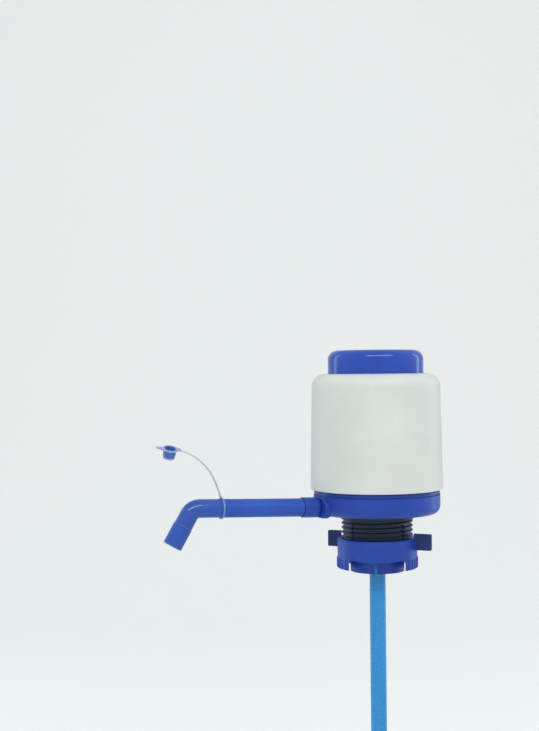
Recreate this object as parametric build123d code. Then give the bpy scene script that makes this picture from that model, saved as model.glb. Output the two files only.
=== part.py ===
"""Hand pump for large drinking-water bottles, built as separate pieces in millimetres.

Frame: +Z up along the pump's axis, origin on the axis where the bottle's rim meets the gasket,
spout along -X. Pressing the cap drives air into the bottle, and the air drives water up the dip
tube, through the elbow in the base and out of the spout.
"""
from build123d import *
from math import cos, radians, sin, sqrt
import os

os.makedirs("parts", exist_ok=True)

# ---------------------------------------------------------------- driving dimensions
# Bottle neck that the pump clamps
crown_dia = 56.6            # the neck's widest part, just under the rim
crown_height = 26.0         # rim down to the crown's lower edge
neck_dia = 48.0             # below the crown, where the split ring grips

# Clearances and fits
crown_gap = 0.6             # radial, crown in the threaded neck
grip_gap = 0.3              # radial, split ring round the bottle neck
slide_gap = 0.4             # radial, push cap in the cover
thread_gap = 0.35           # between the two threads, all over
stop_gap = 0.3              # where pieces of different bodies come to rest on each other
swivel_gap = 0.08           # radial, spout in its collar and plug ring on the spout
push_gap = 0.05             # radial, pieces pushed or pressed together
overcut = 1.0               # how far a cut starts before what it cuts
edge_round = 0.8            # softened edges
fillet_share = 0.9          # of the room beside it that a rounded corner may take

# Cover
cover_height = 109.1
cover_base_dia = 125.4
cover_top_dia = 121.4
cover_wall = 2.4
cover_corner = 12.0
guide_height = 8.0          # collar inside the top that guides the cap
guide_wall = 2.2
shelf_height = 6.5          # the cover's inner shelf above its lower edge
shelf_thickness = 2.0
shelf_width = 4.2
bead_height = 3.2           # snap bead above the lower edge
bead_depth = 1.0

# Push cap
cap_dia = 90.7
cap_stroke = 20.0
cap_proud = 2.3             # what still stands out of the cover when the cap is pressed home
cap_wall = 2.2
cap_corner = 9.0
cap_flange_width = 4.6
cap_flange_thickness = 2.8
cap_rib_radius = 34.0
cap_rib_wall = 2.0
cap_to_bellows = 6.0        # the cap's ceiling down to the bellows' top

# Base drum
drum_dia = 120.0
drum_depth = 24.1           # cover's edge down to the drum's underside
drum_above_seat = 4.8       # the drum's underside above the bottle's rim
drum_wall = 3.4
drum_floor = 2.6
drum_corner = 8.0
drum_dish = 1.2             # how much higher the underside is at the drum's rim than at the neck
band_dia = 119.0            # the spigot that the cover fits over
band_wall = 2.1
band_height = 4.9           # the cover's edge down to the groove's lower side
groove_height = 1.5
groove_depth = 1.6
lap_height = 1.3            # shadow gap under the cover's edge
lap_depth = 0.8

# Deck plate, clamp ring and bellows
deck_thickness = 2.5
bellows_crest_radius = 41.5
bellows_root_radius = 33.5
bellows_wall = 1.1
bellows_folds = 8
bellows_flange_radius = 46.5
bellows_flange_thickness = 1.5
clamp_ring_radius = 53.0
clamp_ring_thickness = 2.6
clamp_ring_gap = 0.9        # radial, clamp ring round the bellows' folds
head_radius = 40.0
head_thickness = 3.0
head_collar_depth = 6.0
head_collar_wall = 1.6

# Valve discs and their pins
disc_radius = 10.0
disc_thickness = 1.2
disc_lift = 1.5
port_circle_radius = 6.5
port_radius = 1.9
port_count = 6
pin_radius = 1.5
pin_head_radius = 3.2
pin_head_thickness = 1.3

# Threaded neck and its gasket
thread_dia = 67.5
thread_depth = 1.8
thread_pitch = 4.3
thread_crest = 0.9          # width of the thread's crest
thread_flank = 1.05         # how far each flank runs along the axis
neck_below_crown = 5.0      # the threaded neck ends this far below the crown's lower edge
neck_cone_height = 4.0
neck_cone_flare = 2.0
neck_flange_proud = 0.6     # the plain flange above the thread, past the thread's crest
neck_flange_thickness = 4.0
neck_slot_count = 4
neck_slot_width = 1.8
neck_slot_top = 2.5         # below the rim
neck_slot_phase = 20.0
gasket_thickness = 2.0
gasket_inner_radius = 20.0
air_port_circle = 15.5
air_port_radius = 2.2
air_port_count = 6
air_port_phase = 30.0

# Split grip ring
grip_skirt_wall = 1.2
grip_skirt_length = 15.5
grip_flange_radius = 32.4
grip_flange_thickness = 1.8
grip_tip_slope = 1.5        # how much the ring's bore opens towards its tip
grip_slit = 2.4
grip_slit_angle = 240.0

# Clamp nut
nut_dia = 75.6
nut_height = 18.0
nut_top_below_rim = 17.2
nut_corner = 1.2
nut_leg_length = 10.3
nut_leg_wall = 4.0
nut_arch_width = 52.5
nut_arch_corner = 3.5
nut_arch_sag = 1.6          # the arch's crown dips this much in its middle
nut_view_angle = 242.5      # the arch between the two legs faces this way
lug_rib_count = 10
lug_rib_proud = 0.7
lug_rib_width = 2.0
lug_rib_round = 0.6
lug_height = 8.8
lug_arc = 76.0
wing_angle = 314.3
wing_reaches = (53.4, 49.4)  # thumb side, far side
wing_thickness = 3.2
wing_height = 15.3
wing_above_nut = 4.7
wing_root_gap = 2.9         # between the wing's upper part and the neck's thread
wing_corner = 1.2

# Outlet, collar and spout
outlet_level = 14.0
pad_proud = 1.2             # the outlet pad's face past the drum
pad_half_width = 18.0
pad_half_height = 9.6
elbow_arm_radius = 6.0
elbow_bore_radius = 4.7
elbow_chamber_radius = 9.5
elbow_chamber_wall = 2.2
elbow_chamber_crown = 0.6   # the chamber's top above its arm
spout_rise = 2.3            # degrees, the spout climbs away from the drum
spout_dia = 16.9
tube_bore_radius = 5.7      # in the straight run
spout_bore_radius = 6.3     # in the elbow
spout_reach = 184.4         # axis to the corner of the elbow's centre line
spout_bend = 61.6           # degrees
spout_bend_radius = 11.0
collar_radius = 9.4
collar_length = 16.5
collar_corner = 2.4
collar_floor = 1.6
collar_spigot_radius = 7.3
collar_spigot_length = 8.5
stub_radius = 7.5
o_ring_section = 1.6
o_ring_groove_width = 2.1
journal_radius = 8.0        # where the plug's ring turns
joint_spigot_radius = 7.2
joint_spigot_length = 11.8
leg_to_sleeve = 17.9
sleeve_length = 20.2
sleeve_radius = 8.8
sleeve_lip = 7.6
sleeve_spigot_radius = 7.3
sleeve_chamfer = 0.5
mouth_radius = 5.6

# Plug on its strap
ring_reach = 157.1          # axis to the plug's ring, along the spout
ring_width = 1.8
ring_wall = 1.75
strap_width = 3.2
strap_thickness = 1.0
plug_flange_radius = 7.0
plug_flange_thickness = 1.3
plug_root_radius = 6.0
plug_tip_radius = 5.35
plug_length = 8.2
plug_wall = 1.2
plug_floor = 1.2
plug_tilt = 23.0            # degrees, towards the pump's front
plug_pitch = 1.0            # degrees, the finger tab's side upwards
tab_lean = 6.0              # degrees that the strap pulls both tabs out of the flange's plane
tab_length = 6.2            # finger tab, past the plug's flange
tab_axis_width = 11.0       # both tabs' sides would be this far apart at the plug's axis
tab_tip_width = 1.6
web_length = 3.4            # gusset between the flange and the strap
# Centre line of the strap from ring to plug: distance beyond the ring, height above the spout's axis
strap_route = [(0.4, 9.2), (3.4, 16.6), (6.8, 24.6), (11.4, 32.4), (17.1, 38.8),
               (23.6, 44.3), (30.1, 48.3), (36.4, 50.8), (40.9, 51.8)]
plug_place = (49.9, 53.2)

# Dip tube
dip_dia = 15.2
dip_wall = 1.2
dip_upper_length = 231.0
dip_lower_length = 215.0
dip_top_above_seat = 1.2
socket_radius = 10.5
socket_depth = 10.0
socket_spigot_radius = 8.0
socket_bore_radius = 6.0
socket_insert = 3.4         # how far the socket's spigot stands in the elbow's chamber
seal_section = 2.4
seal_wall = 1.4
coupler_length = 26.0
coupler_wall = 1.3
coupler_stop = 1.6
foot_notch_width = 7.0
foot_notch_height = 6.1

# Screws
screw_radius = 1.5
screw_head_radius = 2.8
screw_head_height = 1.8
screw_length = 12.0
screw_slot = 0.8
screw_slot_length = 3.9
screw_slot_depth = 0.8
screw_phase = 45.0
post_radius = 3.4
screw_count = 4
deck_screw_circle = 49.8
neck_screw_circle = 24.5

# ---------------------------------------------------------------- levels and radii worked out
drum_bottom = drum_above_seat
cover_edge = drum_bottom + drum_depth
cover_top = cover_edge + cover_height
cap_rise = cap_stroke + cap_proud
cap_top = cover_top + cap_rise
drum_radius = drum_dia / 2
band_radius = band_dia / 2
groove_bottom = cover_edge - band_height
groove_top = groove_bottom + groove_height
lap_bottom = cover_edge - lap_height
floor_top = drum_bottom + drum_floor
plate_bottom = gasket_thickness
deck_top = cover_edge
deck_bottom = deck_top - deck_thickness
deck_radius = band_radius - band_wall - push_gap
shelf_bottom = cover_edge + shelf_height
cap_radius = cap_dia / 2
cap_hole_radius = cap_radius + slide_gap
guide_bottom = cover_top - cover_wall - guide_height
cap_flange_top = guide_bottom - stop_gap
cap_bottom = cap_flange_top - cap_flange_thickness
cap_ceiling = cap_top - cap_wall
bellows_top = cap_ceiling - cap_to_bellows
head_bottom = bellows_top + stop_gap
head_top = head_bottom + head_thickness
neck_bore_radius = crown_dia / 2 + crown_gap
thread_core_radius = thread_dia / 2 - thread_depth
neck_flange_radius = thread_dia / 2 + neck_flange_proud
nut_bore_radius = thread_dia / 2 + thread_gap
neck_length = crown_height + neck_below_crown
neck_bottom = -neck_length
nut_top = -nut_top_below_rim
nut_bottom = nut_top - nut_height
nut_radius = nut_dia / 2
grip_inner_radius = neck_dia / 2 + grip_gap
grip_skirt_radius = grip_inner_radius + grip_skirt_wall
grip_flange_top = neck_bottom - stop_gap
grip_flange_bottom = grip_flange_top - grip_flange_thickness
nut_ledge_top = grip_flange_bottom - stop_gap
outlet_reach = drum_radius + pad_proud
outlet_spigot_start = outlet_reach - collar_spigot_length - stop_gap
collar_joint = collar_length + stop_gap
journal_start = ring_reach - outlet_reach - ring_width / 2 - swivel_gap * 2
journal_end = journal_start + ring_width + swivel_gap * 4
elbow_corner = spout_reach - outlet_reach
leg_end = leg_to_sleeve + sleeve_length
spout_radius = spout_dia / 2
dip_radius = dip_dia / 2
dip_joint = dip_top_above_seat - dip_upper_length
dip_end = dip_joint - coupler_stop - dip_lower_length

spout_frame = Location((-outlet_reach, 0, outlet_level), (0, spout_rise, 0))
leg_frame = spout_frame * Location((-elbow_corner, 0, 0), (0, -spout_bend, 0))


# ---------------------------------------------------------------- helpers
def half_section(points, rounds=()):
    """Flat shape from (radius, height) points; rounds lists ((radius, height), fillet radius)."""
    shape = make_face(Polyline(*points, close=True))
    for corner, radius in rounds:
        nearest = shape.vertices().sort_by_distance((corner[0], corner[1], 0))[0]
        shape = fillet(nearest, radius)
    return shape


def turned(points, rounds=()):
    """Solid of revolution about Z of the half section."""
    return revolve(Plane.XZ * half_section(points, rounds), Axis.Z)


def disc(radius, low, high):
    """Upright cylinder on the Z axis between two heights."""
    return Pos(0, 0, low) * extrude(Circle(radius), high - low)


def ring(inner, outer, low, high):
    """Upright tube on the Z axis between two heights."""
    return Pos(0, 0, low) * extrude(Circle(outer) - Circle(inner), high - low)


def lying(radius, near, far):
    """Cylinder along -X, between two distances from the origin of its frame."""
    return Pos(-near, 0, 0) * Rot(0, -90, 0) * extrude(Circle(radius), far - near)


def around(count, radius, phase=0.0):
    """Places on a circle about Z, each turned to face outwards."""
    return [Rot(0, 0, phase + 360 * i / count) * Pos(radius, 0) for i in range(count)]


def thread_ridge(radius, depth, crest, low, high):
    """Trapezoid ridge on a right-handed helix; a negative depth makes it stand inwards.

    At angle zero its middle is at the lower height; its root is buried by half its depth.
    """
    path = Helix(thread_pitch, high - low, radius, center=(0, 0, low))
    root = crest / 2 + thread_flank * 1.5
    profile = [(-depth / 2, -root), (depth, -crest / 2), (depth, crest / 2), (-depth / 2, root)]
    if depth < 0:
        profile.reverse()
    section = Plane(path @ 0, x_dir=(1, 0, 0), z_dir=path % 0) * make_face(Polyline(*profile, close=True))
    return sweep(section, path, is_frenet=True)


def cover_radius(height):
    """The cover's outer radius at a height, with its draft."""
    share = (height - cover_edge) / cover_height
    return (cover_base_dia + (cover_top_dia - cover_base_dia) * share) / 2


# ---------------------------------------------------------------- head: cap, cover, bellows
def make_cover():
    """White housing: a drafted sleeve with a guide collar in its top and a shelf that sits on the drum."""
    inside = cover_radius(shelf_bottom) - cover_wall
    shelf_radius = inside - shelf_width
    bead = cover_edge + bead_height
    ceiling = cover_top - cover_wall
    guide_radius = cap_hole_radius + guide_wall
    top_radius = cover_top_dia / 2
    outer_corner = min(cover_corner, (top_radius - cap_hole_radius) * fillet_share)
    inner_corner = min(cover_corner - cover_wall, (top_radius - cover_wall - guide_radius) * fillet_share)
    points = [
        (cover_base_dia / 2, cover_edge),
        (top_radius, cover_top),
        (cap_hole_radius, cover_top),
        (cap_hole_radius, guide_bottom),
        (guide_radius, guide_bottom),
        (guide_radius, ceiling),
        (top_radius - cover_wall, ceiling),
        (cover_radius(shelf_bottom + shelf_thickness) - cover_wall, shelf_bottom + shelf_thickness),
        (shelf_radius, shelf_bottom + shelf_thickness),
        (shelf_radius, shelf_bottom),
        (inside, shelf_bottom),
        (inside, bead + bead_depth),
        (band_radius + stop_gap - bead_depth / 2, bead),
        (inside, bead - bead_depth),
        (cover_base_dia / 2 - cover_wall, cover_edge),
    ]
    rounds = [
        ((top_radius, cover_top), outer_corner),
        ((top_radius - cover_wall, ceiling), inner_corner),
        ((cap_hole_radius, cover_top), edge_round),
        ((cover_base_dia / 2, cover_edge), edge_round),
    ]
    return turned(points, rounds)


def make_push_cap():
    """Blue cap: a deep cup whose bottom flange is trapped under the cover's guide collar."""
    inner = cap_radius - cap_wall
    rib_inner = cap_rib_radius - cap_rib_wall
    points = [
        (0, cap_top),
        (cap_radius, cap_top),
        (cap_radius, cap_flange_top),
        (cap_radius + cap_flange_width, cap_flange_top),
        (cap_radius + cap_flange_width, cap_bottom),
        (inner, cap_bottom),
        (inner, cap_ceiling),
        (cap_rib_radius, cap_ceiling),
        (cap_rib_radius, head_top),
        (rib_inner, head_top),
        (rib_inner, cap_ceiling),
        (0, cap_ceiling),
    ]
    inner_corner = min(cap_corner - cap_wall, (inner - cap_rib_radius) * fillet_share)
    rounds = [((cap_radius, cap_top), cap_corner), ((inner, cap_ceiling), inner_corner)]
    return turned(points, rounds)


def valve_ports(low, high):
    """Ring of port holes and the pin's hole, as one cutter."""
    cutter = disc(pin_radius + push_gap, low, high)
    for place in around(port_count, port_circle_radius):
        cutter += place * disc(port_radius, low, high)
    return cutter


def valve_disc(seat):
    """Rubber disc that seals upwards against a plate whose underside is at the seat's height."""
    top = seat - stop_gap
    return ring(pin_radius + stop_gap, disc_radius, top - disc_thickness, top)


def valve_pin(seat, plate_top):
    """Guide pin: its shank is clinched in the plate, and its head stops the falling disc."""
    head_top_level = seat - 2 * stop_gap - disc_thickness - disc_lift
    pin = disc(pin_radius, head_top_level, plate_top)
    pin += disc(pin_head_radius, head_top_level - pin_head_thickness, head_top_level)
    pin += disc(pin_head_radius, plate_top, plate_top + pin_head_thickness)
    return pin


def make_bellows_head():
    """Plate on top of the bellows, with a collar in their mouth and the intake ports."""
    mouth = bellows_root_radius - bellows_wall - stop_gap
    plate = disc(head_radius, head_bottom, head_top)
    plate += ring(mouth - head_collar_wall, mouth, head_bottom - head_collar_depth, head_bottom)
    return plate - valve_ports(head_bottom, head_top)


def make_bellows():
    """Folded air chamber, springy enough to push the cap back up, with a flange at each end."""
    foot = deck_top + bellows_flange_thickness
    crown = bellows_top - bellows_flange_thickness
    step = (crown - foot) / bellows_folds
    outside = []
    for fold in range(bellows_folds):
        outside.append((bellows_root_radius, foot + fold * step))
        outside.append((bellows_crest_radius, foot + (fold + 0.5) * step))
    inner_root = bellows_root_radius - bellows_wall
    points = [(inner_root, deck_top), (bellows_flange_radius, deck_top), (bellows_flange_radius, foot)]
    points += outside
    points += [(bellows_root_radius, crown), (head_radius - stop_gap, crown)]
    points += [(head_radius - stop_gap, bellows_top), (inner_root, bellows_top), (inner_root, crown)]
    points += [(radius - bellows_wall, height) for radius, height in reversed(outside)]
    return turned(points)


def make_clamp_ring():
    """Ring that holds the bellows' lower flange down on the deck."""
    inner = bellows_crest_radius + clamp_ring_gap
    flange_top = deck_top + bellows_flange_thickness
    top = flange_top + clamp_ring_thickness
    body = ring(inner, clamp_ring_radius, deck_top, top)
    body -= ring(inner, bellows_flange_radius + push_gap, deck_top, flange_top)
    for place in around(screw_count, deck_screw_circle, screw_phase):
        body -= place * disc(screw_radius + push_gap, deck_top, top)
    return body


def make_deck_plate():
    """Plate across the drum: the bellows stand on it, and its ports let air down into the drum."""
    plate = disc(deck_radius, deck_bottom, deck_top)
    plate -= valve_ports(deck_bottom, deck_top)
    for place in around(screw_count, deck_screw_circle, screw_phase):
        plate -= place * disc(screw_radius + push_gap, deck_bottom, deck_top)
    return plate


# ---------------------------------------------------------------- base: drum, elbow, neck
def outlet_pad():
    """Racetrack pad on the drum's side, square to the spout."""
    reach = outlet_reach - sqrt(drum_radius ** 2 - pad_half_width ** 2) + drum_wall / 2
    outline = SlotOverall(2 * pad_half_width, 2 * pad_half_height)
    pad = Pos(reach, 0, 0) * Rot(0, -90, 0) * Rot(0, 0, 90) * extrude(outline, reach)
    return spout_frame * fillet(pad.edges().group_by(Axis.X)[0], edge_round)


def make_base_drum():
    """Blue drum: a cup with a spigot for the cover, posts for the screws and the outlet boss."""
    wall_inner = drum_radius - drum_wall
    band_inner = band_radius - band_wall
    hole = socket_spigot_radius + push_gap
    bead = cover_edge + bead_height
    notch = band_radius - bead_depth
    points = [
        (hole, drum_bottom),
        (neck_flange_radius, drum_bottom),
        (drum_radius, drum_bottom + drum_dish),
        (drum_radius, groove_bottom),
        (drum_radius - groove_depth, groove_bottom),
        (drum_radius - groove_depth, groove_top),
        (band_radius, groove_top),
        (band_radius, lap_bottom),
        (band_radius - lap_depth, lap_bottom),
        (band_radius - lap_depth, cover_edge),
        (band_radius, cover_edge),
        (band_radius, bead - bead_depth),
        (notch, bead - bead_depth / 2),
        (notch, bead + bead_depth / 2),
        (band_radius, bead + bead_depth),
        (band_radius, shelf_bottom),
        (band_inner, shelf_bottom),
        (band_inner, deck_bottom),
        (wall_inner, deck_bottom),
        (wall_inner, floor_top + drum_dish),
        (neck_flange_radius, floor_top),
        (hole, floor_top),
    ]
    rounds = [
        ((drum_radius, drum_bottom + drum_dish), drum_corner),
        ((wall_inner, floor_top + drum_dish), drum_corner - drum_wall),
    ]
    body = turned(points, rounds)
    body += outlet_pad()
    outlet = Pos(0, 0, outlet_level)
    body += outlet * lying(pad_half_height, wall_inner - drum_corner, drum_radius - groove_depth)
    neck_post_top = drum_bottom + screw_length
    for place in around(screw_count, deck_screw_circle, screw_phase):
        body += place * disc(post_radius, floor_top, deck_bottom)
        body -= place * disc(screw_radius + push_gap, floor_top + drum_dish, deck_bottom)
    for place in around(screw_count, neck_screw_circle, screw_phase):
        body += place * disc(post_radius, floor_top - drum_floor / 2, neck_post_top)
        body -= place * disc(screw_radius + push_gap, drum_bottom, neck_post_top)
    for place in around(air_port_count, air_port_circle, air_port_phase):
        body -= place * disc(air_port_radius, drum_bottom, floor_top)
    body -= outlet * lying(elbow_arm_radius + push_gap, 0, outlet_reach + overcut)
    body -= outlet * lying(collar_spigot_radius + push_gap, outlet_spigot_start, outlet_reach + overcut)
    return body


def make_water_elbow():
    """Closed chamber over the dip tube's socket, with an arm that carries the water to the outlet."""
    top = outlet_level + elbow_arm_radius + elbow_chamber_crown
    body = disc(elbow_chamber_radius, floor_top, top)
    body += Pos(0, 0, outlet_level) * lying(elbow_arm_radius, 0, outlet_spigot_start)
    bore = elbow_chamber_radius - elbow_chamber_wall
    body -= disc(socket_spigot_radius + push_gap, drum_bottom, floor_top + socket_insert)
    body -= disc(bore, floor_top + socket_insert, top - elbow_chamber_wall)
    body -= Pos(0, 0, outlet_level) * lying(elbow_bore_radius, 0, outlet_spigot_start)
    return body


def make_dip_tube_socket():
    """Fitting pushed up through the drum's floor: the dip tube plugs into it from below."""
    body = disc(socket_radius, -socket_depth, plate_bottom)
    body += disc(socket_spigot_radius, plate_bottom, floor_top + socket_insert - 2 * push_gap)
    body -= disc(dip_radius + push_gap, -socket_depth, dip_top_above_seat)
    body -= disc(socket_bore_radius, dip_top_above_seat, floor_top + socket_insert)
    seal_low = -socket_depth + seal_section
    body -= disc(dip_radius + seal_wall, seal_low, seal_low + seal_section)
    return body


def make_threaded_neck():
    """Dark neck under the drum: round thread outside, slotted so that its lower end can spring."""
    thread_top = drum_bottom - neck_flange_thickness
    ridge = thread_ridge(
        thread_core_radius, thread_depth, thread_crest, neck_bottom - thread_pitch, thread_top + thread_pitch)
    body = disc(thread_core_radius, neck_bottom - 2 * thread_pitch, thread_top + 2 * thread_pitch) + ridge
    body &= disc(thread_dia, neck_bottom, thread_top)
    body += disc(neck_flange_radius, thread_top, drum_bottom)
    body -= disc(neck_bore_radius, neck_bottom - overcut, plate_bottom)
    body -= disc(socket_spigot_radius + push_gap, plate_bottom, drum_bottom)
    cone_top = neck_bottom + neck_cone_height
    mouth = neck_bore_radius + neck_cone_flare
    body -= turned([(0, neck_bottom), (mouth, neck_bottom), (neck_bore_radius, cone_top), (0, cone_top)])
    slot_height = neck_length - neck_slot_top
    for place in around(neck_slot_count, thread_dia / 2, neck_slot_phase):
        slot = Box(neck_bore_radius, neck_slot_width, slot_height)
        body -= place * Pos(0, 0, neck_bottom + slot_height / 2) * slot
    for place in around(screw_count, neck_screw_circle, screw_phase):
        body -= place * disc(screw_radius + push_gap, plate_bottom, drum_bottom)
        body -= place * disc(screw_head_radius + push_gap, plate_bottom, plate_bottom + screw_head_height)
    for place in around(air_port_count, air_port_circle, air_port_phase):
        body -= place * disc(air_port_radius, plate_bottom, drum_bottom)
    return body


def make_gasket():
    """Flat rubber ring that the bottle's rim seals against."""
    return ring(gasket_inner_radius, neck_bore_radius - push_gap, 0, gasket_thickness)


# ---------------------------------------------------------------- clamp: split ring and nut
def make_grip_ring():
    """Split ring under the bottle's crown: the neck's cone squeezes it when the nut draws it up."""
    cone_gap = stop_gap * sqrt(1 + (neck_cone_flare / neck_cone_height) ** 2)
    cone_foot = neck_bore_radius + neck_cone_flare - cone_gap
    cone_tip = neck_bore_radius - cone_gap
    points = [
        (grip_inner_radius, grip_flange_top - grip_flange_thickness - grip_skirt_length),
        (grip_skirt_radius, grip_flange_top - grip_flange_thickness - grip_skirt_length),
        (grip_skirt_radius, grip_flange_bottom),
        (grip_flange_radius, grip_flange_bottom),
        (grip_flange_radius, grip_flange_top),
        (cone_foot, grip_flange_top),
        (cone_foot, neck_bottom),
        (cone_tip, neck_bottom + neck_cone_height),
        (grip_inner_radius + grip_tip_slope, neck_bottom + neck_cone_height),
        (grip_inner_radius, neck_bottom),
    ]
    body = turned(points)
    reach = grip_skirt_length + grip_flange_thickness + neck_cone_height
    slit = Box(2 * grip_flange_radius, grip_slit, 2 * reach)
    return body - Rot(0, 0, grip_slit_angle) * Pos(grip_flange_radius, 0, neck_bottom) * slit


def nut_leg_cutter():
    """Arched tunnel that leaves the nut's two legs standing, running front to back."""
    half, foot = nut_arch_width / 2, -nut_leg_length - overcut
    crown = ThreePointArc((-half, 0), (0, -nut_arch_sag), (half, 0))
    outline = make_face(crown + Polyline((half, 0), (half, foot), (-half, foot), (-half, 0)))
    outline = fillet(outline.vertices().group_by(Axis.Y)[-1], nut_arch_corner)
    tunnel = extrude(Rot(90, 0, 0) * outline, 2 * nut_dia, both=True)
    return Rot(0, 0, nut_view_angle + 90) * Pos(0, 0, nut_bottom) * tunnel


def nut_bore():
    """Cutter for the nut: a chamber for the split ring, and above it the thread that mates the neck's."""
    flank_gap = thread_gap * sqrt(1 + (thread_flank / thread_depth) ** 2)
    groove = thread_pitch - thread_crest - 2 * thread_flank
    crest = groove + 2 * thread_flank * thread_gap / thread_depth - 2 * flank_gap
    thread_low = grip_flange_top + stop_gap
    ridge = thread_ridge(
        nut_bore_radius, -thread_depth, crest, neck_bottom - 1.5 * thread_pitch, nut_top + 1.5 * thread_pitch)
    ridge &= disc(nut_bore_radius + thread_depth, thread_low, nut_top + overcut)
    return disc(nut_bore_radius, nut_ledge_top, nut_top + overcut) - ridge


def make_clamp_nut():
    """Blue nut: threaded collar, ledge that carries the split ring, two ribbed legs, two wings."""
    legs_bottom = nut_bottom - nut_leg_length
    leg_inner = nut_radius - nut_leg_wall
    ledge_inner = grip_skirt_radius + 2 * stop_gap
    outline = [
        (ledge_inner, nut_bottom),
        (leg_inner, nut_bottom),
        (leg_inner, legs_bottom),
        (nut_radius, legs_bottom),
        (nut_radius, nut_top),
        (neck_bore_radius, nut_top),
        (neck_bore_radius, nut_ledge_top),
        (ledge_inner, nut_ledge_top),
    ]
    body = turned(outline, [((nut_radius, nut_top), nut_corner), ((nut_radius, legs_bottom), edge_round)])
    body -= nut_leg_cutter()
    bar_depth = lug_rib_proud + nut_leg_wall / 2
    bar = Box(bar_depth, lug_rib_width, lug_height)
    bar = fillet(bar.edges().filter_by(Axis.Z), lug_rib_round)
    bar = Pos(nut_radius + lug_rib_proud - bar_depth / 2, 0, legs_bottom + edge_round + lug_height / 2) * bar
    for side, wing_reach in zip((0, 180), wing_reaches):
        first = nut_view_angle + 90 + side - lug_arc / 2
        for rib in range(lug_rib_count):
            body += Rot(0, 0, first + lug_arc * rib / (lug_rib_count - 1)) * bar
        body += Rot(0, 0, wing_angle + side) * make_wing(wing_reach)
    return body - nut_bore()


def make_wing(wing_reach):
    """One upright fin of the nut, in the XZ plane, rising a little above the collar."""
    root = thread_dia / 2 + wing_root_gap
    middle = nut_top + wing_above_nut - wing_height / 2
    plate = Pos((root + wing_reach) / 2, 0, middle) * Box(wing_reach - root, wing_thickness, wing_height)
    tips = plate.edges().filter_by(Axis.Y).group_by(Axis.X)[-1]
    return fillet(tips, wing_corner)


# ---------------------------------------------------------------- spout
def make_spout_collar():
    """Sleeve pushed into the drum's outlet; the spout turns in it."""
    body = lying(collar_radius, 0, collar_length)
    body = fillet(body.edges().group_by(Axis.X)[-1], collar_corner)
    body = spout_frame * body
    body += Pos(0, 0, outlet_level) * lying(
        collar_spigot_radius, outlet_reach - collar_spigot_length, outlet_reach + collar_floor / 2)
    body -= spout_frame * lying(stub_radius + swivel_gap, collar_floor, collar_length)
    body -= Pos(0, 0, outlet_level) * lying(
        elbow_bore_radius, outlet_reach - collar_spigot_length, outlet_reach + collar_floor * 2)
    return body


def make_spout_tube():
    """Straight run: a stub in the collar, the visible tube, the plug ring's journal and a spigot."""
    start = collar_floor + stop_gap
    groove = (start + collar_joint) / 2
    spigot_end = journal_end + joint_spigot_length
    body = lying(stub_radius, start, collar_joint)
    body += lying(spout_radius, collar_joint, journal_start)
    body += lying(journal_radius, journal_start, journal_end)
    body += lying(joint_spigot_radius, journal_end, spigot_end)
    body -= lying(elbow_bore_radius, start, collar_joint + collar_floor)
    body -= lying(tube_bore_radius, collar_joint + collar_floor, spigot_end)
    groove_start = groove - o_ring_groove_width / 2
    groove_end = groove + o_ring_groove_width / 2
    body -= lying(stub_radius, groove_start, groove_end) - lying(
        stub_radius - o_ring_section, groove_start, groove_end)
    return spout_frame * body


def make_o_ring():
    """Rubber ring in the stub's groove that seals the spout in its collar."""
    groove = (collar_floor + stop_gap + collar_joint) / 2
    hoop = Torus(stub_radius - o_ring_section / 2, o_ring_section / 2 - push_gap)
    return spout_frame * Pos(-groove, 0, 0) * Rot(0, 90, 0) * hoop


def make_spout_elbow():
    """Bent end of the spout, pushed over the straight tube's spigot."""
    down = (cos(radians(spout_bend)), sin(radians(spout_bend)))
    leg = leg_to_sleeve
    foot = (-elbow_corner - leg * down[0], 0, -leg * down[1])
    path = FilletPolyline((-journal_end, 0, 0), (-elbow_corner, 0, 0), foot, radius=spout_bend_radius)
    face = Plane((-journal_end, 0, 0), z_dir=(-1, 0, 0))
    body = sweep(face * Circle(spout_radius), path)
    body -= sweep(face * Circle(spout_bore_radius), path)
    socket_end = journal_end + joint_spigot_length + stop_gap
    body -= lying(joint_spigot_radius + push_gap, journal_end, socket_end)
    spigot_end = leg_end - sleeve_lip - stop_gap
    spigot = lying(sleeve_spigot_radius, leg, spigot_end) - lying(spout_bore_radius, leg, spigot_end)
    return spout_frame * body + leg_frame * spigot


def make_nozzle_sleeve():
    """Short sleeve over the end of the elbow, with the mouth that the plug closes."""
    body = lying(sleeve_radius, leg_to_sleeve, leg_end)
    body = chamfer(body.edges().group_by(Axis.X)[0], sleeve_chamfer)
    body -= lying(sleeve_spigot_radius + push_gap, leg_to_sleeve, leg_end - sleeve_lip)
    body -= lying(mouth_radius, leg_end - sleeve_lip - overcut, leg_end)
    return leg_frame * body


# ---------------------------------------------------------------- plug on its strap
def tapered_tab(reach, tip_width):
    """Flat tab from the Z axis towards -X, as thick as the plug's flange."""
    root = tab_axis_width / 2
    outline = Polyline((0, -root), (0, root), (-reach, tip_width / 2), (-reach, -tip_width / 2), close=True)
    return extrude(make_face(outline), plug_flange_thickness)


def make_plug_head():
    """Hollow tapered plug with a flange, a finger tab and a gusset, centred on the flange's underside."""
    body = turned([
        (0, -plug_length), (plug_tip_radius, -plug_length), (plug_root_radius, 0), (plug_flange_radius, 0),
        (plug_flange_radius, plug_flange_thickness), (plug_root_radius - plug_wall, plug_flange_thickness),
        (plug_tip_radius - plug_wall, -plug_length + plug_floor), (0, -plug_length + plug_floor)])
    tabs = tapered_tab(plug_flange_radius + tab_length, tab_tip_width)
    tabs += Rot(0, 0, 180) * tapered_tab(plug_flange_radius + web_length, strap_width)
    return body + (Rot(0, tab_lean, 0) * tabs - disc(plug_root_radius, -plug_length, plug_length))


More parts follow.
